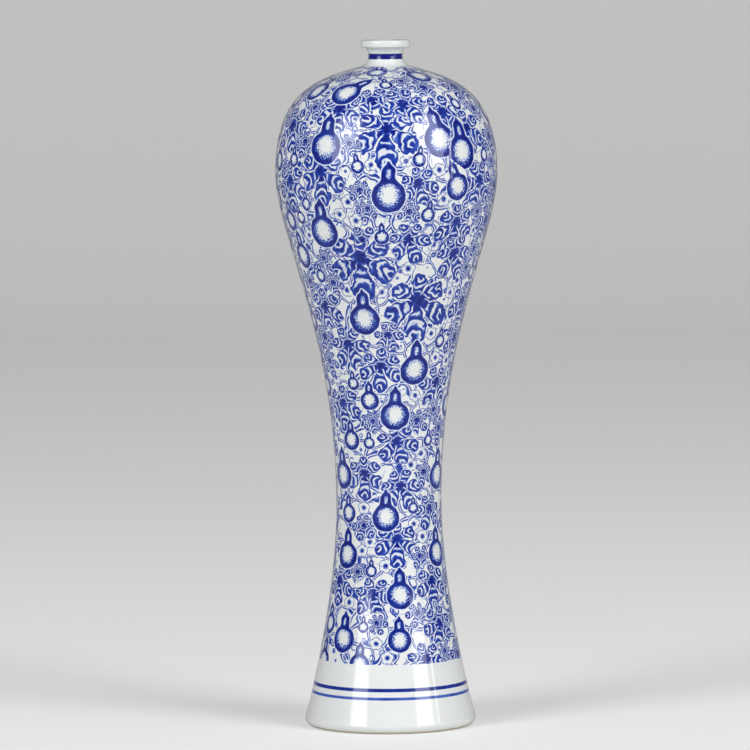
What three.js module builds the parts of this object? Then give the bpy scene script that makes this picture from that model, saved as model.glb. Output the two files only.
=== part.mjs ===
// A slender blue and white porcelain vase of the meiping form: small mouth, short neck, high round shoulder,
// long narrow waist and spreading foot. It is six pieces of clay, joined with slip and fired into one body:
// a foot and a body that meet at the narrowest place, a shoulder that meets the body at the widest, a neck and
// a lip set on top, and a disc let into the foot. The glaze hides the joints, so where they lie is a guess.
// Millimetres, +Z up, origin at the middle of the face that the foot stands on.
import * as THREE from "three";

// Outside shape: radii, the heights they lie at, and how far each part above the belly rises from the last
const standRadius = 53.7;
const footRadius = 57.3;
const footHeight = 5;
const waistRadius = 35.3;
const waistHeight = 150;
const bellyRadius = 74.3;
const bellyHeight = 372;
const neckRootRadius = 17;
const shoulderRise = 70.6;
const neckRadius = 11.3;
const neckRise = 7;
const lipSeatRadius = 13.1;
const flareRise = 5.4;
const lipRadius = 16.5;
const lipThickness = 5;

// Heights that follow, up to the 460 of the whole vase
const neckRootHeight = bellyHeight + shoulderRise;
const neckWaistHeight = neckRootHeight + neckRise;
const lipSeatHeight = neckWaistHeight + flareRise;
const vaseHeight = lipSeatHeight + lipThickness;

// How far each bend reaches: the lengths of the curve handles
const footPull = 10;
const footLean = 2.7;
const waistPullDown = 60;
const waistPullUp = 116;
const bellyPullDown = 42;
const bellyPullUp = 58;
const shoulderPull = 24;
const shoulderSlope = 0.307;
const neckRootPull = 3.6;
const neckPullDown = 3.5;
const neckPullUp = 2.6;
const flarePull = 1.6;
const flareSlope = 0.6;

// Clay
const wallThickness = 5;
const mouthBoreRadius = 7.8;
const footRingInnerRadius = 46;
const baseDiscRadius = 49;
const baseDiscThickness = 6;
const baseRecess = 7;

// Joints: the foot ends at the waist and the body at the belly, each with a step that seats the next piece
const footSeamHeight = waistHeight;
const bodySeamHeight = bellyHeight;
const lapDepth = 3;
const slipGap = 0.3;
const neckSpigotRadius = 12.2;
const neckSpigotDepth = 5;
const lipSpigotRadius = 9.8;
const lipSpigotHeight = 2;

// Rounded edges
const lipOuterRound = 1.3;
const lipInnerRound = 1.8;
const standRound = 0.8;

// Fineness of the faceted solids
const roundSteps = 48;
const curveSamples = 300;
const footStations = 9;
const bodyStations = 10;
const shoulderStations = 8;
const neckStations = 4;
const cornerStations = 3;

const clay = new THREE.MeshStandardMaterial({ color: 0xe9ece8, roughness: 0.18, metalness: 0 });
const patternedClay = new THREE.MeshStandardMaterial({ color: 0x8fa0cf, roughness: 0.16, metalness: 0 });
const bandedClay = new THREE.MeshStandardMaterial({ color: 0xe2e6e4, roughness: 0.17, metalness: 0 });

const point = (radius, height) => new THREE.Vector2(radius, height);

// The body's outside line, from the foot's widest place up to the root of the neck
function bodyOutline() {
  const foot = new THREE.CubicBezierCurve(
    point(footRadius, footHeight),
    point(footRadius - footLean, footHeight + footPull),
    point(waistRadius, waistHeight - waistPullDown),
    point(waistRadius, waistHeight),
  );
  const waist = new THREE.CubicBezierCurve(
    point(waistRadius, waistHeight),
    point(waistRadius, waistHeight + waistPullUp),
    point(bellyRadius, bellyHeight - bellyPullDown),
    point(bellyRadius, bellyHeight),
  );
  const shoulder = new THREE.CubicBezierCurve(
    point(bellyRadius, bellyHeight),
    point(bellyRadius, bellyHeight + bellyPullUp),
    point(neckRootRadius + shoulderPull, neckRootHeight - shoulderPull * shoulderSlope),
    point(neckRootRadius, neckRootHeight),
  );
  return [foot, waist, shoulder].flatMap((curve, index) =>
    curve.getPoints(curveSamples).slice(index ? 1 : 0),
  );
}

// The same line moved into the clay, square to the surface
function insetLine(line, depth) {
  return line.map((here, index) => {
    const before = line[Math.max(index - 1, 0)];
    const after = line[Math.min(index + 1, line.length - 1)];
    const along = after.clone().sub(before).normalize();
    return point(here.x - along.y * depth, here.y + along.x * depth);
  });
}

const outside = bodyOutline();
const inside = insetLine(outside, wallThickness);

// The radius of a line at a height. Both lines climb all the way, so one answer is enough
function radiusAt(line, height) {
  const above = line.findIndex((here) => here.y >= height);
  if (above < 0) return line[line.length - 1].x;
  if (above === 0) return line[0].x;
  const low = line[above - 1];
  const high = line[above];
  return low.x + ((high.x - low.x) * (height - low.y)) / (high.y - low.y);
}

// Evenly spaced points of a line between two heights, both ends included
function stretch(line, fromHeight, toHeight, stations) {
  const start = point(radiusAt(line, fromHeight), fromHeight);
  const end = point(radiusAt(line, toHeight), toHeight);
  const between = line.filter((here) => here.y > fromHeight && here.y < toHeight);
  const path = [start, ...between, end];
  const reach = [0];
  for (let i = 1; i < path.length; i++) reach.push(reach[i - 1] + path[i].distanceTo(path[i - 1]));
  const total = reach[reach.length - 1];
  const points = [start];
  for (let step = 1; step < stations - 1; step++) {
    const target = (total * step) / (stations - 1);
    const i = reach.findIndex((length) => length >= target);
    const share = (target - reach[i - 1]) / (reach[i] - reach[i - 1]);
    points.push(path[i - 1].clone().lerp(path[i], share));
  }
  points.push(end);
  return points;
}

// A quarter round about a centre, from one angle to another in degrees
function corner(centreRadius, centreHeight, round, fromDegrees, toDegrees) {
  return Array.from({ length: cornerStations }, (_, step) => {
    const degrees = fromDegrees + ((toDegrees - fromDegrees) * step) / (cornerStations - 1);
    const angle = THREE.MathUtils.degToRad(degrees);
    return point(centreRadius + round * Math.cos(angle), centreHeight + round * Math.sin(angle));
  });
}

// Turns a closed outline, drawn anticlockwise with the axis on its left, into a ring that stands on Z
function turned(name, outline, material) {
  const geometry = new THREE.LatheGeometry([...outline, outline[0].clone()], roundSteps);
  geometry.rotateX(Math.PI / 2);
  const mesh = new THREE.Mesh(geometry, material);
  mesh.name = name;
  return mesh;
}

// The upper ring's tongue hangs inside the lower ring's rebate, with room for the slip between them
const lapRadius = (seam) => radiusAt(outside, seam) - wallThickness / 2;

function tongueBelow(seam) {
  const tongueEnd = seam - lapDepth;
  const tongueRadius = lapRadius(seam) - slipGap / 2;
  return [
    point(radiusAt(inside, tongueEnd), tongueEnd),
    point(tongueRadius, tongueEnd),
    point(tongueRadius, seam),
  ];
}

function rebateAbove(seam) {
  const rebateFloor = seam - lapDepth - slipGap;
  const rebateRadius = lapRadius(seam) + slipGap / 2;
  return [
    point(rebateRadius, seam),
    point(rebateRadius, rebateFloor),
    point(radiusAt(inside, rebateFloor), rebateFloor),
  ];
}

// The long cone between the waist and the belly
function bodySection() {
  const rebate = rebateAbove(bodySeamHeight);
  const tongue = tongueBelow(footSeamHeight);
  const innerWall = stretch(inside, tongue[0].y, rebate[2].y, bodyStations).reverse();
  return turned(
    "body_section",
    [
      ...stretch(outside, footSeamHeight, bodySeamHeight, bodyStations),
      ...rebate.slice(0, 2),
      ...innerWall,
      ...tongue.slice(1),
    ],
    patternedClay,
  );
}

// The round cap of the body, with a flat seat and a hole for the neck's spigot
function shoulderDome() {
  const holeRadius = neckSpigotRadius + slipGap;
  const tongue = tongueBelow(bodySeamHeight);
  const ceiling = inside[inside.length - 1];
  return turned(
    "shoulder_dome",
    [
      ...stretch(outside, bodySeamHeight, neckRootHeight, shoulderStations),
      point(holeRadius, neckRootHeight),
      point(holeRadius, ceiling.y),
      ...stretch(inside, tongue[0].y, ceiling.y, shoulderStations).reverse(),
      ...tongue.slice(1),
    ],
    patternedClay,
  );
}

// The neck's outside line, hollow-curved from the shoulder to the seat of the lip
function neckOutline() {
  const root = new THREE.CubicBezierCurve(
    point(neckRootRadius, neckRootHeight),
    point(neckRootRadius - neckRootPull, neckRootHeight + neckRootPull * shoulderSlope),
    point(neckRadius, neckWaistHeight - neckPullDown),
    point(neckRadius, neckWaistHeight),
  );
  const flare = new THREE.CubicBezierCurve(
    point(neckRadius, neckWaistHeight),
    point(neckRadius, neckWaistHeight + neckPullUp),
    point(lipSeatRadius - flarePull * flareSlope, lipSeatHeight - flarePull),
    point(lipSeatRadius, lipSeatHeight),
  );
  return [...root.getPoints(neckStations), ...flare.getPoints(neckStations).slice(1)];
}

// The neck drops its spigot into the shoulder, and the lip sits on the neck's own small spigot
function neckCollar() {
  return turned(
    "neck_collar",
    [
      ...neckOutline(),
      point(lipSpigotRadius, lipSeatHeight),
      point(lipSpigotRadius, lipSeatHeight + lipSpigotHeight),
      point(mouthBoreRadius, lipSeatHeight + lipSpigotHeight),
      point(mouthBoreRadius, neckRootHeight - neckSpigotDepth),
      point(neckSpigotRadius, neckRootHeight - neckSpigotDepth),
      point(neckSpigotRadius, neckRootHeight),
    ],
    bandedClay,
  );
}

// The thick rolled lip, with rounded edges and a flat top
function mouthRim() {
  const socketRadius = lipSpigotRadius + slipGap;
  const socketRoof = lipSeatHeight + lipSpigotHeight + slipGap;
  return turned(
    "mouth_rim",
    [
      point(socketRadius, lipSeatHeight),
      ...corner(lipRadius - lipOuterRound, lipSeatHeight + lipOuterRound, lipOuterRound, -90, 0),
      ...corner(lipRadius - lipOuterRound, vaseHeight - lipOuterRound, lipOuterRound, 0, 90),
      ...corner(mouthBoreRadius + lipInnerRound, vaseHeight - lipInnerRound, lipInnerRound, 90, 180),
      point(mouthBoreRadius, socketRoof),
      point(socketRadius, socketRoof),
    ],
    clay,
  );
}

// The spreading foot: a bevelled standing ring, a ledge that holds the base, and the wall up to the waist
function footSection() {
  const ledgeHeight = baseRecess;
  const seatRadius = baseDiscRadius + slipGap;
  const seatTop = baseRecess + baseDiscThickness;
  const rebate = rebateAbove(footSeamHeight);
  const innerWall = stretch(inside, seatTop + lapDepth, rebate[2].y, footStations).reverse();
  return turned(
    "foot_section",
    [
      ...corner(footRingInnerRadius + standRound, standRound, standRound, 180, 270),
      point(standRadius, 0),
      ...stretch(outside, footHeight, footSeamHeight, footStations),
      ...rebate.slice(0, 2),
      ...innerWall,
      point(seatRadius, seatTop),
      point(seatRadius, ledgeHeight),
      point(footRingInnerRadius, ledgeHeight),
    ],
    patternedClay,
  );
}

// The floor of the vase, a flat slab that rests on the foot's ledge
function baseDisc() {
  const geometry = new THREE.CylinderGeometry(
    baseDiscRadius,
    baseDiscRadius,
    baseDiscThickness,
    roundSteps,
  );
  geometry.rotateX(Math.PI / 2);
  const mesh = new THREE.Mesh(geometry, clay);
  mesh.name = "base_disc";
  mesh.position.z = baseRecess + baseDiscThickness / 2;
  return mesh;
}

const vase = new THREE.Group();
vase.add(baseDisc(), footSection(), bodySection(), shoulderDome(), neckCollar(), mouthRim());

export default vase;
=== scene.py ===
import math

import bmesh
import bpy
import numpy as np
from mathutils import Matrix, Vector


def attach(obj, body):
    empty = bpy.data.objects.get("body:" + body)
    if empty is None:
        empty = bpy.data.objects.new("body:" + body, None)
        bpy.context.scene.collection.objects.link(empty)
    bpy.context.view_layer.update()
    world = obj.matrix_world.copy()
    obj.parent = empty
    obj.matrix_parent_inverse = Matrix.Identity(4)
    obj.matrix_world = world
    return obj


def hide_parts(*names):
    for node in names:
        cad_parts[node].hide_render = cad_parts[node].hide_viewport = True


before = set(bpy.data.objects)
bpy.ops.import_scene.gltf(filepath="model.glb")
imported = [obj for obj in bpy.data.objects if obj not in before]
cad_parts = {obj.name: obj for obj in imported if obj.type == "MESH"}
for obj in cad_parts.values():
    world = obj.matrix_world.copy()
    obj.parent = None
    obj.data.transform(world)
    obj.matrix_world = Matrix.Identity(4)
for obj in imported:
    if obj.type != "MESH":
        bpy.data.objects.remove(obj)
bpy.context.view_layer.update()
scene = bpy.context.scene
scene.view_settings.view_transform = "Standard"
mm = 0.001  # sizes here are in millimetres, Blender's are in metres


def linearColour(hexCode):
    channels = [int(hexCode[i:i + 2], 16) / 255 for i in (1, 3, 5)]
    linear = [c / 12.92 if c <= 0.04045 else ((c + 0.055) / 1.055) ** 2.4 for c in channels]
    return linear + [1.0]


# Adds one node: inputs by number or name, each a socket or a value, and settings by name
def addNode(tree, kind, inputs=(), out=0, **settings):
    node = tree.nodes.new(kind)
    for key, value in settings.items():
        setattr(node, key, value)
    pairs = inputs.items() if isinstance(inputs, dict) else enumerate(inputs)
    for key, value in pairs:
        if isinstance(value, bpy.types.NodeSocket):
            tree.links.new(value, node.inputs[key])
        elif value is not None:
            node.inputs[key].default_value = value
    return node.outputs[out]


# The camera: nearly four metres back and a little above the mouth, with a long lens
view = {
    "distance": 3950,
    "height": 550,
    "aimHeight": 235.5,
    "aimAcross": -8.7,
    "lens": 283.4,
    "sensor": 36,
    "rollDegrees": 0.46,
    "photoPixels": 750,
}


def makeCamera():
    data = bpy.data.cameras.new("camera")
    data.lens = view["lens"]
    data.sensor_width = view["sensor"]
    camera = bpy.data.objects.new("camera", data)
    scene.collection.objects.link(camera)
    place = Vector((view["aimAcross"], -view["distance"], view["height"])) * mm
    aim = Vector((view["aimAcross"], 0, view["aimHeight"])) * mm
    turn = (aim - place).to_track_quat("-Z", "Y").to_matrix()
    roll = Matrix.Rotation(math.radians(-view["rollDegrees"]), 3, "Z")
    camera.matrix_world = Matrix.Translation(place) @ (turn @ roll).to_4x4()
    scene.camera = camera
    return place, np.array(turn @ roll)


cameraPlace, cameraTurn = makeCamera()
print("camera done")


# The body's outside line, and the sizes that all its pieces share
body = {
    "footRadius": 57.3, "footHeight": 5,
    "waistRadius": 35.3, "waistHeight": 150,
    "bellyRadius": 74.3, "bellyHeight": 372,
    "rootRadius": 17, "rootHeight": 442.6,
    "footPull": 10, "footLean": 2.7,
    "waistPullDown": 60, "waistPullUp": 116,
    "bellyPullDown": 42, "bellyPullUp": 58,
    "shoulderPull": 24, "shoulderSlope": 0.307,
    "wall": 5, "lap": 3, "slip": 0.3,
    "stepsRound": 448, "lineSteps": 600, "weld": 0.001, "creaseDegrees": 32,
}


def bezier(corners, steps):
    t = np.linspace(0, 1, steps + 1)[:, None]
    a, b, c, d = (np.array(corner, float) for corner in corners)
    return (1 - t) ** 3 * a + 3 * (1 - t) ** 2 * t * b + 3 * (1 - t) * t * t * c + t ** 3 * d


def bodyLine():
    b = body
    foot = (b["footRadius"], b["footHeight"])
    waist = (b["waistRadius"], b["waistHeight"])
    belly = (b["bellyRadius"], b["bellyHeight"])
    root = (b["rootRadius"], b["rootHeight"])
    leaveFoot = (foot[0] - b["footLean"], foot[1] + b["footPull"])
    reachWaist = (waist[0], waist[1] - b["waistPullDown"])
    leaveWaist = (waist[0], waist[1] + b["waistPullUp"])
    reachBelly = (belly[0], belly[1] - b["bellyPullDown"])
    leaveBelly = (belly[0], belly[1] + b["bellyPullUp"])
    pull = b["shoulderPull"]
    reachRoot = (root[0] + pull, root[1] - pull * b["shoulderSlope"])
    steps = b["lineSteps"]
    return np.vstack([
        bezier((foot, leaveFoot, reachWaist, waist), steps),
        bezier((waist, leaveWaist, reachBelly, belly), steps)[1:],
        bezier((belly, leaveBelly, reachRoot, root), steps)[1:],
    ])


outside = bodyLine()
lean = np.gradient(outside, axis=0)
lean /= np.linalg.norm(lean, axis=1)[:, None]
inside = outside + body["wall"] * np.stack([-lean[:, 1], lean[:, 0]], axis=1)
reach = np.concatenate([[0], np.cumsum(np.linalg.norm(np.diff(outside, axis=0), axis=1))])


def radiusAt(line, height):
    return np.interp(height, line[:, 1], line[:, 0])


def stretch(line, low, high, steps):
    lengths = np.concatenate([[0], np.cumsum(np.linalg.norm(np.diff(line, axis=0), axis=1))])
    ends = np.interp([low, high], line[:, 1], lengths)
    along = np.linspace(ends[0], ends[1], steps + 1)
    return [(np.interp(s, lengths, line[:, 0]), np.interp(s, lengths, line[:, 1])) for s in along]


def corner(radius, height, rounding, start, end, steps=6):
    angles = np.radians(np.linspace(start, end, steps + 1))
    return [(radius + rounding * math.cos(a), height + rounding * math.sin(a)) for a in angles]


# One tree turns any outline about Z: the outline comes as a row of points, in order and closed
def makeTurningTree():
    tree = bpy.data.node_groups.new("turnOutline", "GeometryNodeTree")
    face = tree.interface
    face.new_socket("Outline", in_out="INPUT", socket_type="NodeSocketGeometry")
    for name in ("Steps Round", "Outline Points"):
        face.new_socket(name, in_out="INPUT", socket_type="NodeSocketInt")
    face.new_socket("Glaze", in_out="INPUT", socket_type="NodeSocketMaterial")
    face.new_socket("Piece", in_out="OUTPUT", socket_type="NodeSocketGeometry")
    given = tree.nodes.new("NodeGroupInput")
    steps, points = given.outputs["Steps Round"], given.outputs["Outline Points"]
    across = addNode(tree, "ShaderNodeMath", [steps, 1.0], operation="ADD")
    tall = addNode(tree, "ShaderNodeMath", [points, 1.0], operation="SUBTRACT")
    sheet = addNode(tree, "GeometryNodeMeshGrid", {
        "Size X": math.tau, "Size Y": tall, "Vertices X": across, "Vertices Y": points})
    where = addNode(tree, "ShaderNodeSeparateXYZ", [addNode(tree, "GeometryNodeInputPosition")]).node
    half = addNode(tree, "ShaderNodeMath", [tall, 0.5], operation="MULTIPLY")
    row = addNode(tree, "ShaderNodeMath", [where.outputs[1], half], operation="ADD")
    row = addNode(tree, "ShaderNodeMath", [row], operation="ROUND")
    place = addNode(tree, "GeometryNodeInputPosition")
    sample = addNode(tree, "GeometryNodeSampleIndex", {
        "Geometry": given.outputs["Outline"], "Value": place, "Index": row},
        data_type="FLOAT_VECTOR", domain="POINT")
    outline = addNode(tree, "ShaderNodeSeparateXYZ", [sample]).node
    sine = addNode(tree, "ShaderNodeMath", [where.outputs[0]], operation="SINE")
    cosine = addNode(tree, "ShaderNodeMath", [where.outputs[0]], operation="COSINE")
    x = addNode(tree, "ShaderNodeMath", [outline.outputs[0], sine], operation="MULTIPLY")
    y = addNode(tree, "ShaderNodeMath", [outline.outputs[0], cosine], operation="MULTIPLY")
    turned = addNode(tree, "ShaderNodeCombineXYZ", [x, y, outline.outputs[2]])
    moved = addNode(tree, "GeometryNodeSetPosition", {"Geometry": sheet, "Position": turned})
    closed = addNode(tree, "GeometryNodeMergeByDistance", {
        "Geometry": moved, "Distance": body["weld"] * mm})
    real = addNode(tree, "GeometryNodeRealizeInstances", [closed])
    glazed = addNode(tree, "GeometryNodeSetMaterial", {
        "Geometry": real, "Material": given.outputs["Glaze"]})
    result = tree.nodes.new("NodeGroupOutput")
    tree.links.new(glazed, result.inputs["Piece"])
    return tree


turningTree = makeTurningTree()
turningKeys = {item.name: item.identifier for item in turningTree.interface.items_tree}


def turnPiece(name, outline, material):
    ring = [*outline, outline[0]]
    seed = bpy.data.meshes.new(name + "Outline")
    seed.from_pydata([(r * mm, 0, z * mm) for r, z in ring], [], [])
    source = bpy.data.objects.new(name + "Outline", seed)
    scene.collection.objects.link(source)
    modifier = source.modifiers.new("turn", "NODES")
    modifier.node_group = turningTree
    modifier[turningKeys["Steps Round"]] = body["stepsRound"]
    modifier[turningKeys["Outline Points"]] = len(ring)
    modifier[turningKeys["Glaze"]] = material
    depsgraph = bpy.context.evaluated_depsgraph_get()
    mesh = bpy.data.meshes.new_from_object(source.evaluated_get(depsgraph))
    source.modifiers.remove(modifier)
    bpy.data.objects.remove(source)
    mesh.name = name
    shape = bmesh.new()
    shape.from_mesh(mesh)
    bmesh.ops.recalc_face_normals(shape, faces=shape.faces)
    for face in shape.faces:
        face.smooth = True
    crease = math.radians(body["creaseDegrees"])
    for edge in shape.edges:  # crisp where an end face meets a wall
        edge.smooth = not (edge.is_manifold and edge.calc_face_angle(0) > crease)
    shape.to_mesh(mesh)
    shape.free()
    if not mesh.materials:
        mesh.materials.append(material)
    piece = bpy.data.objects.new(name, mesh)
    scene.collection.objects.link(piece)
    return piece


# Where the pattern's motifs lie on the side that the photograph shows, read from it in pixels across
# and down. Each row may end in its tilt in degrees and its size as a share of the usual one.
motifsSeen = {
    "gourd": [
        (346, 93, -35, 0.9), (325, 147), (389, 196), (440, 140, 8), (462, 152), (458, 187, 20, 0.8),
        (324, 232), (364, 320), (415, 370), (395, 416), (343, 475), (437, 475), (386, 518),
        (347, 555), (437, 553), (400, 596), (343, 639),
        (386, 85, 10, 0.4), (456, 104, 15, 0.4), (294, 160, 0, 0.42), (357, 167, 12, 0.4),
        (419, 160, -10, 0.42), (484, 155, 0, 0.42), (306, 204, 0, 0.4), (301, 218, 15, 0.4),
        (382, 237, 0, 0.45), (428, 215, -8, 0.45), (321, 276, 0, 0.42), (440, 341, 0, 0.45),
        (353, 384, 0, 0.45), (471, 272, 0, 0.45), (369, 443, 0, 0.42), (428, 440, 0, 0.42),
        (413, 508, 0, 0.42), (371, 571, 0, 0.45), (363, 627, 0, 0.42),
    ],
    "leaf": [
        (340, 109), (371, 100, 30, 0.8), (403, 104, -20), (386, 130, 0, 1.3), (443, 112, 40),
        (466, 128), (293, 124, 20), (321, 171, 0, 1.1), (290, 181), (419, 183, 15, 0.8),
        (480, 180, -20), (360, 258, 0, 1.5), (418, 301, 0, 1.5), (325, 306), (348, 344, 25),
        (456, 223), (454, 253, 30), (462, 300), (362, 241, 20, 0.8), (343, 402), (397, 441, 15),
        (364, 473), (400, 486, 30), (397, 539, 0, 1.1), (340, 580), (432, 580), (372, 594, 20),
    ],
    "flower": [
        (348, 202), (356, 221), (444, 199), (454, 206), (421, 259), (408, 269), (347, 290),
        (457, 280), (446, 360), (336, 377), (424, 403), (411, 465), (364, 508), (370, 542),
        (362, 551), (414, 524), (376, 644), (387, 658),
    ],
}
motifSizes = {  # radius in millimetres at the waist, and how much it grows by the belly
    "gourd": {"radius": 8.8, "growth": 0.25},
    "leaf": {"radius": 12.5, "growth": 0.2},
    "flower": {"radius": 4.6, "growth": 0.15},
}
patternBottom = 45.5
patternTop = 442
gourdLift = 0.5  # a gourd is taller than it is wide: the middle of its room, in radii above its round body
search = {"below": 20, "rows": 900, "sideDegrees": 89, "columns": 357, "hiddenCost": 1e6}


# The angle round the vase and the height that a pixel of the photograph looks at
def surfaceUnder(pixels):
    heights = np.linspace(patternBottom - search["below"], patternTop, search["rows"])
    angles = np.radians(np.linspace(-search["sideDegrees"], search["sideDegrees"], search["columns"]))
    radii = radiusAt(outside, heights)
    height, angle = np.meshgrid(heights, angles, indexing="ij")
    radius = np.repeat(radii[:, None], len(angles), axis=1)
    points = np.stack([radius * np.sin(angle), -radius * np.cos(angle), height], axis=-1)
    sight = points - np.array(cameraPlace) / mm
    seen = sight @ cameraTurn
    scale = view["lens"] / view["sensor"] * view["photoPixels"]
    across = view["photoPixels"] / 2 + seen[..., 0] / -seen[..., 2] * scale
    down = view["photoPixels"] / 2 - seen[..., 1] / -seen[..., 2] * scale
    slope = np.gradient(radii, heights)[:, None]
    normal = np.stack([np.sin(angle), -np.cos(angle), -np.broadcast_to(slope, angle.shape)], axis=-1)
    hidden = np.sum(normal * sight, axis=-1) > 0
    found = []
    for pixelAcross, pixelDown in pixels:
        gap = (across - pixelAcross) ** 2 + (down - pixelDown) ** 2 + hidden * search["hiddenCost"]
        i, j = np.unravel_index(np.argmin(gap), gap.shape)
        found.append((angles[j], heights[i]))
    return found


# Each motif once on the photographed side, and once more turned half way round for the back
def placeMotifs(kind):
    rows = motifsSeen[kind]
    size = motifSizes[kind]
    placed = []
    for row, (angle, height) in zip(rows, surfaceUnder([r[:2] for r in rows])):
        tilt = math.radians(row[2]) if len(row) > 2 else 0.0
        share = row[3] if len(row) > 3 else 1.0
        rise = (height - body["waistHeight"]) / (body["bellyHeight"] - body["waistHeight"])
        radius = size["radius"] * share * (1 + size["growth"] * max(0.0, min(1.0, rise)))
        for half in (0.0, math.pi):
            placed.append((angle + half, np.interp(height, outside[:, 1], reach), radius, tilt))
    return placed


filler = {
    "smallest": 4.4, "largest": 13, "overlap": 1.0, "most": 400,
    "flowerBelow": 5.2, "flowerShare": 0.8, "leafTilt": 0.5, "gourdAbove": 8.5, "gourdShare": 0.64,
    "aboveBottom": 3, "belowTop": 2, "rows": 190, "stepDegrees": 2.0, "unfilled": 99.0,
}


# Leaves and flowers of the size that fits, one after another in the widest space that is still free, and a
# gourd in every other one of the widest
def fillSpaces(placed):
    low, high = patternBottom + filler["aboveBottom"], patternTop - filler["belowTop"]
    heights = np.linspace(low, high, filler["rows"])
    angles = np.radians(np.arange(0, 360, filler["stepDegrees"])) - math.pi
    height, angle = np.meshgrid(heights, angles, indexing="ij")
    radius = radiusAt(outside, height)
    along = np.interp(height, outside[:, 1], reach)
    free = np.full(height.shape, filler["unfilled"])

    def take(motifAngle, motifAlong, motifRadius, lift):
        x = radius * ((angle - motifAngle + math.pi) % math.tau - math.pi)
        y = along - motifAlong - lift * motifRadius
        np.minimum(free, np.hypot(x, y / (1 + lift)) - motifRadius, out=free)

    for kind, rows in placed.items():
        for motifAngle, motifAlong, motifRadius, _ in rows:
            take(motifAngle, motifAlong, motifRadius, gourdLift if kind == "gourd" else 0.0)
    count = 0
    while free.max() > filler["smallest"] and count < filler["most"]:
        i, j = np.unravel_index(np.argmax(free), free.shape)
        room = min(free[i, j] + filler["overlap"], filler["largest"])
        if free[i, j] > filler["gourdAbove"] and count % 2 == 0:
            size = room * filler["gourdShare"]
            placed["gourd"].append((angle[i, j], along[i, j] - gourdLift * size, size, 0.0))
        elif free[i, j] < filler["flowerBelow"]:
            placed["flower"].append((angle[i, j], along[i, j], room * filler["flowerShare"], count))
        else:
            tilt = filler["leafTilt"] * math.sin(count)
            placed["leaf"].append((angle[i, j], along[i, j], room, tilt))
        take(angle[i, j], along[i, j], room, 0.0)
        count += 1
    print("fillers", count)


motifsPlaced = {kind: placeMotifs(kind) for kind in motifsSeen}
fillSpaces(motifsPlaced)


places = {"nowhere": 9.0, "farOff": 1e3, "guardMost": 10, "skin": 0.6}


# Writes each point's place inside the nearest motif of a kind, in that motif's radii, and how many
# millimetres nearer it is than the next one
def writePlaces(mesh, kind, angle, along, radius, outer):
    nowhere = places["nowhere"]
    best = np.full(len(angle), places["farOff"])
    second = np.full(len(angle), places["farOff"])
    place = np.full((len(angle), 2), nowhere)
    lift = gourdLift if kind == "gourd" else 0.0
    for motifAngle, motifAlong, motifRadius, tilt in motifsPlaced[kind]:
        x = radius * ((angle - motifAngle + math.pi) % math.tau - math.pi)
        y = along - motifAlong
        u = (x * math.cos(tilt) + y * math.sin(tilt)) / motifRadius
        v = (y * math.cos(tilt) - x * math.sin(tilt)) / motifRadius
        away = (np.hypot(u, (v - lift) / (1 + lift)) - 1) * motifRadius
        nearer = away < best
        second = np.where(nearer, best, np.minimum(second, away))
        best = np.where(nearer, away, best)
        place[nearer] = np.stack([u, v], axis=1)[nearer]
    guard = np.clip(second - best, 0, places["guardMost"])
    place[~outer] = nowhere
    values = np.column_stack([np.clip(place, -nowhere, nowhere), guard]).astype(np.float32)
    attribute = mesh.attributes.new(kind + "Place", "FLOAT_VECTOR", "POINT")
    attribute.data.foreach_set("vector", values.ravel())


def writePattern(piece):
    mesh = piece.data
    points = np.zeros(len(mesh.vertices) * 3, np.float32)
    mesh.vertices.foreach_get("co", points)
    points = points.reshape(-1, 3) / mm
    radius = np.hypot(points[:, 0], points[:, 1])
    angle = np.arctan2(points[:, 0], -points[:, 1])
    outer = radius > radiusAt(outside, points[:, 2]) - places["skin"]
    along = np.interp(points[:, 2], outside[:, 1], reach)
    for kind in motifsSeen:
        writePlaces(mesh, kind, angle, along, radius, outer)


# Cobalt under a clear glaze on white porcelain: deep blue where the brush was full, pale where it was thin,
# on a ground that is a cold, faintly green white
colours = {
    "ground": "#E6E9E8", "footGround": "#DDE2DF", "thin": "#6283CE", "middle": "#2443A8",
    "full": "#0E1A78", "biscuit": "#D6CDBA",
}
tones = ((0.0, "ground"), (0.4, "thin"), (0.7, "middle"), (1.0, "full"))  # by how much ink there is
glaze = {
    "roughness": 0.24, "ior": 1.3, "coat": 0.8, "coatIor": 1.38, "coatRoughness": 0.03,
    "rippleWidth": 22, "rippleStrength": 0.03, "rippleDepth": 1, "cloudWidth": 20,
    "bareRoughness": 0.8, "bareBelow": 1.5, "glazedAbove": 1.9,
}


def noise(tree, where, width, detail, out=0):
    return addNode(tree, "ShaderNodeTexNoise", {
        "Vector": where, "Scale": 1 / (width * mm), "Detail": detail}, out=out)


def heightOf(tree, where):
    height = addNode(tree, "ShaderNodeSeparateXYZ", [where], out=2)
    return addNode(tree, "ShaderNodeMath", [height, 1 / mm], operation="MULTIPLY")


def mixColours(tree, share, first, second):
    return addNode(tree, "ShaderNodeMix", {0: share, 6: first, 7: second}, out=2, data_type="RGBA")


def showSurface(tree, shader):
    out = tree.nodes.new("ShaderNodeOutputMaterial")
    tree.links.new(shader, out.inputs["Surface"])


# Gloss glaze over what the base colour paints, with the slow ripple that a dipped glaze has
def finishGlaze(tree, colour, roughness=None):
    where = addNode(tree, "ShaderNodeTexCoord", out=3)
    ripple = noise(tree, where, glaze["rippleWidth"], 1.0)
    bump = addNode(tree, "ShaderNodeBump", {
        "Height": ripple, "Strength": glaze["rippleStrength"], "Distance": glaze["rippleDepth"] * mm})
    shader = addNode(tree, "ShaderNodeBsdfPrincipled", {
        "Base Color": colour, "Roughness": roughness or glaze["roughness"], "IOR": glaze["ior"],
        "Coat Weight": glaze["coat"], "Coat IOR": glaze["coatIor"],
        "Coat Roughness": glaze["coatRoughness"], "Normal": bump})
    showSurface(tree, shader)


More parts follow.
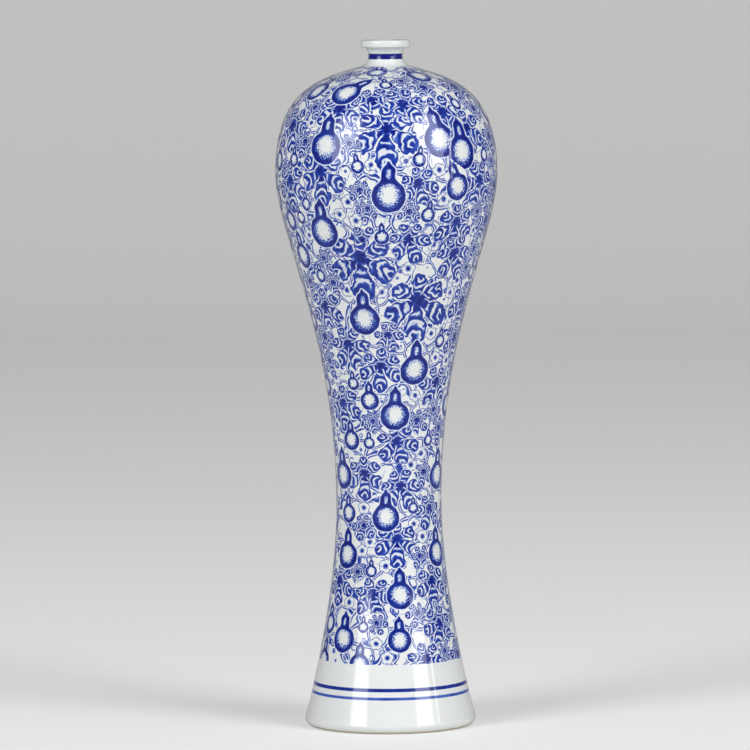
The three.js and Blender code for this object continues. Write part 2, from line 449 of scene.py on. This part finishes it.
def newMaterial(name):
    material = bpy.data.materials.new(name)
    material.use_nodes = True
    material.node_tree.nodes.clear()
    return material, material.node_tree


# 1 inside a value's range and 0 outside, with an edge as soft as cobalt under glaze
def band(tree, value, low, high, soft):
    rise = addNode(tree, "ShaderNodeMapRange", [value, low - soft, low + soft])
    fall = addNode(tree, "ShaderNodeMapRange", [value, high + soft, high - soft])
    return addNode(tree, "ShaderNodeMath", [rise, fall], operation="MULTIPLY")


def rampOf(tree, value, stops):
    socket = addNode(tree, "ShaderNodeValToRGB", [value])
    points = socket.node.color_ramp.elements
    while len(points) > 1:
        points.remove(points[-1])
    points[0].position = stops[0][0]
    for position, _ in stops[1:]:
        points.new(position)
    for point, (_, grey) in zip(points, stops):
        point.color = (grey, grey, grey, 1)
    return socket


# A motif's own coordinates, bent a little everywhere as a hand draws them
def drawnPlace(tree, kind, wobble, amount):
    place = addNode(tree, "ShaderNodeAttribute", out=1, attribute_name=kind + "Place")
    room = addNode(tree, "ShaderNodeSeparateXYZ", [place], out=2)
    bend = addNode(tree, "ShaderNodeVectorMath", [wobble, (0.5, 0.5, 0.5)], operation="SUBTRACT")
    bend = addNode(tree, "ShaderNodeVectorMath", [bend, (amount, amount, 0.0)], operation="MULTIPLY")
    bent = addNode(tree, "ShaderNodeVectorMath", [place, bend], operation="ADD")
    flat = addNode(tree, "ShaderNodeVectorMath", [bent, (1.0, 1.0, 0.0)], operation="MULTIPLY")
    parts = addNode(tree, "ShaderNodeSeparateXYZ", [flat]).node
    return flat, parts.outputs[0], parts.outputs[1], room


# Sizes in shares of the motif's radius. The rim's steps go from a lobe's middle to its outline at 1, and
# the strokes' steps outwards from the point they curve round, each with how much ink it takes.
petal = {
    "count": 5, "core": 0.2, "wobble": 0.2, "lean": 0.0,
    "middle": 0.56, "length": 0.42, "width": 0.52, "flare": 0.0, "strokeMiddle": 0.0,
    "rim": ((0.0, 0.0), (0.74, 0.0), (0.84, 0.72), (1.0, 0.72), (1.08, 0.0)),
    "strokes": ((0.0, 0.95), (0.26, 0.9), (0.36, 0.12), (0.42, 0.3), (0.5, 0.0)),
}
leafLobe = {
    "count": 6, "core": 0.2, "wobble": 0.3, "lean": 0.24,
    "middle": 0.6, "length": 0.5, "width": 0.1, "flare": 2.9, "strokeMiddle": 0.92,
    "rim": ((0.0, 0.0), (0.74, 0.0), (0.82, 0.8), (1.0, 0.76), (1.1, 0.0)),
    "strokes": (
        (0.0, 0.95), (0.08, 0.9), (0.12, 0.04), (0.17, 0.08), (0.21, 1.0), (0.3, 0.75), (0.34, 0.03),
        (0.4, 0.08), (0.44, 1.0), (0.53, 0.7), (0.57, 0.05), (0.61, 0.15), (0.65, 1.0), (1.0, 0.95),
    ),
}
lobeEdges = {
    "strokeSquash": 1.25, "ink": (0.98, 0.86), "coreOut": 0.07, "coreIn": 0.05, "cover": (1.14, 1.06),
    "room": (0.2, 0.9),
}


# Lobes round a centre for leaves and petals. Each has an outline, and inside it strokes round a point near
# its tip. The lower lobes are longer by the lean given.
def lobedMotif(tree, kind, wobble, lobe):
    flat, u, v, room = drawnPlace(tree, kind, wobble, lobe["wobble"])
    halfTurn = math.pi / lobe["count"]
    away = addNode(tree, "ShaderNodeVectorMath", [flat], out=1, operation="LENGTH")
    turn = addNode(tree, "ShaderNodeMath", [u, v], operation="ARCTAN2")
    lean = addNode(tree, "ShaderNodeMath", [turn], operation="COSINE")
    lean = addNode(tree, "ShaderNodeMath", [lean, lobe["lean"], 1.0], operation="MULTIPLY_ADD")
    reached = addNode(tree, "ShaderNodeMath", [away, lean], operation="MULTIPLY")
    turn = addNode(tree, "ShaderNodeMath", [turn, halfTurn, -halfTurn], operation="WRAP")
    alongLobe = addNode(tree, "ShaderNodeMath", [turn], operation="COSINE")
    alongLobe = addNode(tree, "ShaderNodeMath", [alongLobe, reached], operation="MULTIPLY")
    acrossLobe = addNode(tree, "ShaderNodeMath", [turn], operation="SINE")
    acrossLobe = addNode(tree, "ShaderNodeMath", [acrossLobe, reached], operation="MULTIPLY")
    tall = addNode(tree, "ShaderNodeMath", [alongLobe, lobe["middle"]], operation="SUBTRACT")
    tall = addNode(tree, "ShaderNodeMath", [tall, lobe["length"]], operation="DIVIDE")
    broad = addNode(tree, "ShaderNodeMath", [alongLobe, lobe["flare"], 1.0], operation="MULTIPLY_ADD")
    broad = addNode(tree, "ShaderNodeMath", [broad, lobe["width"]], operation="MULTIPLY")
    wide = addNode(tree, "ShaderNodeMath", [acrossLobe, broad], operation="DIVIDE")
    spot = addNode(tree, "ShaderNodeCombineXYZ", [tall, wide, 0.0])
    edge = addNode(tree, "ShaderNodeVectorMath", [spot], out=1, operation="LENGTH")
    rim = rampOf(tree, edge, lobe["rim"])
    tall = addNode(tree, "ShaderNodeMath", [alongLobe, lobe["strokeMiddle"]], operation="SUBTRACT")
    wide = addNode(tree, "ShaderNodeMath", [acrossLobe, lobeEdges["strokeSquash"]], operation="MULTIPLY")
    spot = addNode(tree, "ShaderNodeCombineXYZ", [tall, wide, 0.0])
    stroke = addNode(tree, "ShaderNodeVectorMath", [spot], out=1, operation="LENGTH")
    ink = rampOf(tree, stroke, lobe["strokes"])
    within = addNode(tree, "ShaderNodeMapRange", [edge, *lobeEdges["ink"]])
    ink = addNode(tree, "ShaderNodeMath", [ink, within], operation="MULTIPLY")
    ink = addNode(tree, "ShaderNodeMath", [ink, rim], operation="MAXIMUM")
    inner = addNode(tree, "ShaderNodeMapRange", [
        away, lobe["core"] + lobeEdges["coreOut"], lobe["core"] - lobeEdges["coreIn"]])
    ink = addNode(tree, "ShaderNodeMath", [ink, inner], operation="MAXIMUM")
    cover = addNode(tree, "ShaderNodeMapRange", [edge, *lobeEdges["cover"]])
    cover = addNode(tree, "ShaderNodeMath", [cover, inner], operation="MAXIMUM")
    guard = addNode(tree, "ShaderNodeMapRange", [room, *lobeEdges["room"]])
    cover = addNode(tree, "ShaderNodeMath", [cover, guard], operation="MULTIPLY")
    return ink, cover


# How far a point is outside a bar that stands on the motif's axis
def barDistance(tree, u, v, low, high, width):
    y = addNode(tree, "ShaderNodeMath", [v, (low + high) / 2], operation="SUBTRACT")
    y = addNode(tree, "ShaderNodeMath", [y], operation="ABSOLUTE")
    y = addNode(tree, "ShaderNodeMath", [y, (high - low) / 2], operation="SUBTRACT")
    y = addNode(tree, "ShaderNodeMath", [y, 0.0], operation="MAXIMUM")
    spot = addNode(tree, "ShaderNodeCombineXYZ", [u, y, 0.0])
    away = addNode(tree, "ShaderNodeVectorMath", [spot], out=1, operation="LENGTH")
    return addNode(tree, "ShaderNodeMath", [away, width], operation="SUBTRACT")


# The gourd's sizes, in shares of its round body's radius
gourd = {
    "wobble": 0.16, "neckLow": 1.2, "neckHigh": 1.5, "neckWidth": 0.38, "neckBlend": 0.46,
    "tipHigh": 2.05, "tipWidth": 0.05, "tipBlend": 0.4,
    "bareRise": 0.08, "bareRadius": 0.56, "bareBlend": 0.2,
    "channelLow": 0.4, "channelHigh": 1.5, "channelWidth": 0.13,
    "grain": 1.1, "hatching": (-0.12, 0.2, 0.0, 1.0), "rim": 0.24, "rimIn": 0.06, "rimOut": 0.05,
    "ink": (0.06, 0.0), "cover": (0.14, 0.08), "room": (0.3, 1.0),
}


# A round body that narrows to a long neck and a point: a full dark line, feathered inwards to bare white
def gourdMotif(tree, wobble, stipple):
    flat, u, v, room = drawnPlace(tree, "gourd", wobble, gourd["wobble"])
    away = addNode(tree, "ShaderNodeVectorMath", [flat], out=1, operation="LENGTH")
    outline = addNode(tree, "ShaderNodeMath", [away, 1.0], operation="SUBTRACT")
    neckBar = barDistance(tree, u, v, gourd["neckLow"], gourd["neckHigh"], gourd["neckWidth"])
    blend = gourd["neckBlend"]
    outline = addNode(tree, "ShaderNodeMath", [outline, neckBar, blend], operation="SMOOTH_MIN")
    tip = barDistance(tree, u, v, gourd["neckHigh"], gourd["tipHigh"], gourd["tipWidth"])
    outline = addNode(tree, "ShaderNodeMath", [outline, tip, gourd["tipBlend"]], operation="SMOOTH_MIN")
    bare = barDistance(tree, u, v, 0.0, 2 * gourd["bareRise"], gourd["bareRadius"])
    channel = barDistance(tree, u, v, gourd["channelLow"], gourd["channelHigh"], gourd["channelWidth"])
    bare = addNode(tree, "ShaderNodeMath", [bare, channel, gourd["bareBlend"]], operation="SMOOTH_MIN")
    grain = addNode(tree, "ShaderNodeMath", [stipple, 0.5], operation="SUBTRACT")
    feather = addNode(tree, "ShaderNodeMath", [grain, gourd["grain"], bare], operation="MULTIPLY_ADD")
    hatched = addNode(tree, "ShaderNodeMapRange", [feather, *gourd["hatching"]])
    rim = addNode(tree, "ShaderNodeMapRange", [
        outline, -gourd["rim"] - gourd["rimIn"], -gourd["rim"] + gourd["rimOut"]])
    ink = addNode(tree, "ShaderNodeMath", [hatched, rim], operation="MAXIMUM")
    drawn = addNode(tree, "ShaderNodeMapRange", [outline, *gourd["ink"]])
    ink = addNode(tree, "ShaderNodeMath", [ink, drawn], operation="MULTIPLY")
    cover = addNode(tree, "ShaderNodeMapRange", [outline, *gourd["cover"]])
    guard = addNode(tree, "ShaderNodeMapRange", [room, *gourd["room"]])
    cover = addNode(tree, "ShaderNodeMath", [cover, guard], operation="MULTIPLY")
    return ink, cover


vine = {"width": 13, "bend": 1.1, "near": 0.35, "far": 1.15, "soft": 0.14, "tone": 0.8}
curl = {"swing": 2.4, "soft": 0.14, "gate": (0.38, 0.42)}
curlSizes = (  # millimetres between curls, their radius and thickness, and how much ink they take
    (9, 3.0, 0.7, 0.72),
    (7, 2.0, 0.6, 0.62),
)


# Vines as double lines along the walls of bent cells, so they fork and loop as a climbing stem does
def vineLines(tree, where, bend):
    width = vine["width"]
    moved = addNode(tree, "ShaderNodeVectorMath", [bend, (0.5, 0.5, 0.5)], operation="SUBTRACT")
    moved = addNode(tree, "ShaderNodeVectorMath", {0: moved, "Scale": width * vine["bend"] * mm},
                    operation="SCALE")
    moved = addNode(tree, "ShaderNodeVectorMath", [where, moved], operation="ADD")
    wall = addNode(tree, "ShaderNodeTexVoronoi", {"Vector": moved, "Scale": 1 / (width * mm)},
                   feature="DISTANCE_TO_EDGE")
    wall = addNode(tree, "ShaderNodeMath", [wall, width], operation="MULTIPLY")
    return band(tree, wall, vine["near"], vine["far"], vine["soft"])


# Curling tendrils: open rings of one width, each broken where a slow noise is low
def tendrilCurls(tree, where, bend, spacing, radius, thickness):
    cell = addNode(tree, "ShaderNodeTexVoronoi", {"Vector": where, "Scale": 1 / (spacing * mm)})
    away = addNode(tree, "ShaderNodeMath", [cell, spacing], operation="MULTIPLY")
    slow = addNode(tree, "ShaderNodeSeparateXYZ", [bend])
    away = addNode(tree, "ShaderNodeMath", [slow, curl["swing"], away], operation="MULTIPLY_ADD")
    ring = band(tree, away, radius, radius + thickness, curl["soft"])
    gate = addNode(tree, "ShaderNodeMapRange", [slow, *curl["gate"]])
    return addNode(tree, "ShaderNodeMath", [ring, gate], operation="MULTIPLY")


paint = {
    "stippleWidth": 0.9, "bendWidth": 13, "wobbleWidth": 5, "cloudWidth": 6,
    "cloud": (0.3, 0.7, 0.86, 1.06), "patternSoft": 0.3, "aboveTop": 6, "lineSoft": 0.2,
}
footLines = (  # the low and high edge of each line round the foot, and how much ink it takes
    (27.8, 30.0, 0.95),
    (22.4, 24.2, 0.66),
)
neckLine = (447.3, 451.1)


# The vines lie lowest, then flowers, leaves and gourds, each with a bare edge that keeps what is below off
def makePatternedGlaze():
    material, tree = newMaterial("underglaze cobalt on porcelain")
    where = addNode(tree, "ShaderNodeTexCoord", out=3)
    stipple = noise(tree, where, paint["stippleWidth"], 2.0)
    bend = noise(tree, where, paint["bendWidth"], 1.0, out=1)
    wobble = noise(tree, where, paint["wobbleWidth"], 1.0, out=1)
    ink = vineLines(tree, where, bend)
    ink = addNode(tree, "ShaderNodeMath", [ink, vine["tone"]], operation="MULTIPLY")
    for spacing, radius, thickness, tone in curlSizes:
        ring = tendrilCurls(tree, where, bend, spacing, radius, thickness)
        ring = addNode(tree, "ShaderNodeMath", [ring, tone], operation="MULTIPLY")
        ink = addNode(tree, "ShaderNodeMath", [ink, ring], operation="MAXIMUM")
    layers = (
        lobedMotif(tree, "flower", wobble, petal),
        lobedMotif(tree, "leaf", wobble, leafLobe),
        gourdMotif(tree, wobble, stipple),
    )
    for motifInk, cover in layers:
        ink = addNode(tree, "ShaderNodeMix", [cover, None, ink, motifInk], data_type="FLOAT")
    height = heightOf(tree, where)
    patterned = band(tree, height, patternBottom, patternTop + paint["aboveTop"], paint["patternSoft"])
    ink = addNode(tree, "ShaderNodeMath", [ink, patterned], operation="MULTIPLY")
    for low, high, tone in footLines:
        line = band(tree, height, low, high, paint["lineSoft"])
        line = addNode(tree, "ShaderNodeMath", [line, tone], operation="MULTIPLY")
        ink = addNode(tree, "ShaderNodeMath", [ink, line], operation="MAXIMUM")
    cloud = noise(tree, where, paint["cloudWidth"], 2.0)
    cloud = addNode(tree, "ShaderNodeMapRange", [cloud, *paint["cloud"]])
    ink = addNode(tree, "ShaderNodeMath", [ink, cloud], operation="MULTIPLY")
    cobalt = addNode(tree, "ShaderNodeValToRGB", [ink])
    points = cobalt.node.color_ramp.elements
    for position, _ in tones[1:-1]:
        points.new(position)
    for point, (position, tone) in zip(points, tones):
        point.position = position
        point.color = linearColour(colours[tone])
    bare = addNode(tree, "ShaderNodeMapRange", [height, glaze["glazedAbove"], glaze["bareBelow"]])
    colour = mixColours(tree, bare, cobalt, linearColour(colours["biscuit"]))
    roughness = addNode(tree, "ShaderNodeMapRange", [
        bare, 0.0, 1.0, glaze["roughness"], glaze["bareRoughness"]])
    finishGlaze(tree, colour, roughness)
    return material


# White porcelain under the same clear glaze, faintly clouded, with a cobalt line where one is given
def makePlainGlaze(name, line=None):
    material, tree = newMaterial(name)
    where = addNode(tree, "ShaderNodeTexCoord", out=3)
    cloud = noise(tree, where, glaze["cloudWidth"], 2.0)
    colour = mixColours(
        tree, cloud, linearColour(colours["ground"]), linearColour(colours["footGround"]))
    if line:
        height = heightOf(tree, where)
        drawn = band(tree, height, *line, paint["lineSoft"])
        colour = mixColours(tree, drawn, colour, linearColour(colours["full"]))
    finishGlaze(tree, colour)
    return material


patternedGlaze = makePatternedGlaze()
whiteGlaze = makePlainGlaze("clear glaze on porcelain")
bandedGlaze = makePlainGlaze("glazed porcelain with a cobalt line", neckLine)
print("glazes done")


def tongueBelow(seam):
    end = seam - body["lap"]
    radius = radiusAt(outside, seam) - body["wall"] / 2 - body["slip"] / 2
    return [(radiusAt(inside, end), end), (radius, end), (radius, seam)]


def rebateAbove(seam):
    floor = seam - body["lap"] - body["slip"]
    radius = radiusAt(outside, seam) - body["wall"] / 2 + body["slip"] / 2
    return [(radius, seam), (radius, floor), (radiusAt(inside, floor), floor)]


foot = {
    "standRadius": 53.7, "standInner": 46, "standRound": 0.8, "discSeat": 49.3,
    "rollOut": 2.2, "rollUp": 0.2, "rollPull": 2.6, "rollRows": 8,
    "ledge": 7, "seatTop": 13, "wallRows": 180, "innerRows": 8,
}


def makeFoot():
    rebate = rebateAbove(body["waistHeight"])
    rolled = bezier((
        (foot["standRadius"], 0), (foot["standRadius"] + foot["rollOut"], foot["rollUp"]),
        (body["footRadius"], body["footHeight"] - foot["rollPull"]),
        (body["footRadius"], body["footHeight"])), foot["rollRows"])
    inner = stretch(inside, foot["seatTop"] + body["lap"], rebate[2][1], foot["innerRows"])
    outline = [
        *corner(foot["standInner"] + foot["standRound"], foot["standRound"], foot["standRound"], 180, 270),
        *[tuple(p) for p in rolled[:-1]],
        *stretch(outside, body["footHeight"], body["waistHeight"], foot["wallRows"]),
        *rebate[:2], *reversed(inner),
        (foot["discSeat"], foot["seatTop"]), (foot["discSeat"], foot["ledge"]),
        (foot["standInner"], foot["ledge"]),
    ]
    return turnPiece("glazed_foot", outline, patternedGlaze)


bodyPiece = {"wallRows": 206, "innerRows": 8}


def makeBody():
    rebate = rebateAbove(body["bellyHeight"])
    tongue = tongueBelow(body["waistHeight"])
    outline = [
        *stretch(outside, body["waistHeight"], body["bellyHeight"], bodyPiece["wallRows"]),
        *rebate[:2],
        *reversed(stretch(inside, tongue[0][1], rebate[2][1], bodyPiece["innerRows"])),
        *tongue[1:],
    ]
    return turnPiece("glazed_body", outline, patternedGlaze)


shoulder = {"hole": 12.5, "wallRows": 150, "innerRows": 10}


def makeShoulder():
    tongue = tongueBelow(body["bellyHeight"])
    ceiling = inside[-1, 1]
    outline = [
        *stretch(outside, body["bellyHeight"], body["rootHeight"], shoulder["wallRows"]),
        (shoulder["hole"], body["rootHeight"]), (shoulder["hole"], ceiling),
        *reversed(stretch(inside, tongue[0][1], ceiling, shoulder["innerRows"])),
        *tongue[1:],
    ]
    return turnPiece("glazed_shoulder", outline, patternedGlaze)


neck = {
    "waist": 11.3, "waistHeight": 449.6, "seatRadius": 13.1, "seatHeight": 455, "spigot": 12.2,
    "spigotDepth": 5, "lipSpigot": 9.8, "lipSpigotHeight": 2, "bore": 7.8,
    "rootPull": 3.6, "waistPullDown": 3.5, "riseRows": 14,
    "waistPullUp": 2.6, "seatPullIn": 0.96, "seatPullDown": 1.6, "flareRows": 10,
}


def makeNeck():
    n = neck
    root = (body["rootRadius"], body["rootHeight"])
    waist = (n["waist"], n["waistHeight"])
    seat = (n["seatRadius"], n["seatHeight"])
    leaveRoot = (root[0] - n["rootPull"], root[1] + n["rootPull"] * body["shoulderSlope"])
    reachSeat = (seat[0] - n["seatPullIn"], seat[1] - n["seatPullDown"])
    rise = bezier((root, leaveRoot, (waist[0], waist[1] - n["waistPullDown"]), waist), n["riseRows"])
    flare = bezier((waist, (waist[0], waist[1] + n["waistPullUp"]), reachSeat, seat), n["flareRows"])
    outline = [
        *[tuple(p) for p in rise], *[tuple(p) for p in flare[1:]],
        (n["lipSpigot"], n["seatHeight"]),
        (n["lipSpigot"], n["seatHeight"] + n["lipSpigotHeight"]),
        (n["bore"], n["seatHeight"] + n["lipSpigotHeight"]),
        (n["bore"], root[1] - n["spigotDepth"]), (n["spigot"], root[1] - n["spigotDepth"]),
        (n["spigot"], root[1]),
    ]
    return turnPiece("glazed_neck", outline, bandedGlaze)


lip = {"radius": 16.5, "top": 460, "outerRound": 1.3, "innerRound": 1.8}


def makeLip():
    under = neck["seatHeight"]
    socket = neck["lipSpigot"] + body["slip"]
    roof = under + neck["lipSpigotHeight"] + body["slip"]
    outer, inner = lip["outerRound"], lip["innerRound"]
    outline = [
        (socket, under),
        *corner(lip["radius"] - outer, under + outer, outer, -90, 0),
        *corner(lip["radius"] - outer, lip["top"] - outer, outer, 0, 90),
        *corner(neck["bore"] + inner, lip["top"] - inner, inner, 90, 180),
        (neck["bore"], roof), (socket, roof),
    ]
    return turnPiece("glazed_lip", outline, whiteGlaze)


disc = {"radius": 49, "low": 7, "high": 13}


def makeDisc():
    low, high, radius = disc["low"], disc["high"], disc["radius"]
    outline = [(0, low), (radius, low), (radius, high), (0, high)]
    return turnPiece("glazed_base", outline, whiteGlaze)


for make, node, slot, patterned in (
    (makeFoot, "foot_section", "patterned_glaze", True),
    (makeBody, "body_section", "patterned_glaze", True),
    (makeShoulder, "shoulder_dome", "patterned_glaze", True),
    (makeNeck, "neck_collar", "banded_glaze", False),
    (makeLip, "mouth_rim", "white_glaze", False),
    (makeDisc, "base_disc", "white_glaze", False),
):
    piece = make()
    if patterned:
        writePattern(piece)
    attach(piece, "root")
    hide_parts(node)
    print(piece.name, len(piece.data.vertices), "points")


# Pale floor that curves up into the backdrop, in metres. The camera sees it paler than it is, as a lit
# backdrop, and the glaze reflects it as it is, so that the vase's edges stay blue.
stage = {
    "halfWidth": 5.0, "front": -5.0, "back": 5.2, "curve": 1.6, "curveSteps": 16, "height": 4.0,
    "paper": "#D2D2D2", "roughness": 0.9, "glow": 0.3,
}


def makeStage():
    curve, steps = stage["curve"], stage["curveSteps"]
    bendStart = stage["back"] - curve
    line = [(stage["front"], 0.0), (bendStart, 0.0)]
    for step in range(1, steps + 1):
        a = math.radians(90 * step / steps)
        line.append((bendStart + curve * math.sin(a), curve * (1 - math.cos(a))))
    line.append((stage["back"], stage["height"]))
    points = [(side * stage["halfWidth"], y, z) for y, z in line for side in (-1, 1)]
    faces = [(2 * i, 2 * i + 1, 2 * i + 3, 2 * i + 2) for i in range(len(line) - 1)]
    mesh = bpy.data.meshes.new("backdrop")
    mesh.from_pydata(points, [], faces)
    mesh.polygons.foreach_set("use_smooth", [True] * len(faces))
    floor = bpy.data.objects.new("backdrop", mesh)
    scene.collection.objects.link(floor)
    material, tree = newMaterial("matt pale paper")
    paper = addNode(tree, "ShaderNodeBsdfPrincipled", {
        "Base Color": linearColour(stage["paper"]), "Roughness": stage["roughness"]})
    seen = addNode(tree, "ShaderNodeLightPath", out="Is Camera Ray")
    seen = addNode(tree, "ShaderNodeMath", [seen, stage["glow"]], operation="MULTIPLY")
    glow = addNode(tree, "ShaderNodeEmission", {"Strength": seen})
    showSurface(tree, addNode(tree, "ShaderNodeAddShader", [paper, glow]))
    mesh.materials.append(material)


# In metres: two big softboxes in front, high on either side, a narrow strip on the right, and an even grey
# surround
lights = (
    {"name": "softboxLeft", "place": (-2.1, -2.0, 1.75), "size": (1.4, 2.6), "watts": 72},
    {"name": "softboxRight", "place": (2.2, -1.85, 1.75), "size": (1.4, 2.6), "watts": 72},
    {"name": "stripRight", "place": (2.7, -0.95, 0.75), "size": (0.1, 1.4), "watts": 4},
)
lightsAim = (0, 0, 0.25)
surround = {"grey": "#DCDCDC", "strength": 0.2}


def makeLights():
    for light in lights:
        data = bpy.data.lights.new(light["name"], "AREA")
        data.shape = "RECTANGLE"
        data.size, data.size_y = light["size"]
        data.energy = light["watts"]
        lamp = bpy.data.objects.new(light["name"], data)
        lamp.location = light["place"]
        aim = Vector(lightsAim) - Vector(light["place"])
        lamp.rotation_euler = aim.to_track_quat("-Z", "Y").to_euler()
        scene.collection.objects.link(lamp)
    world = bpy.data.worlds.new("studio")
    world.use_nodes = True
    background = world.node_tree.nodes["Background"]
    background.inputs["Color"].default_value = linearColour(surround["grey"])
    background.inputs["Strength"].default_value = surround["strength"]
    scene.world = world


makeStage()
makeLights()
print("stage and lights done")
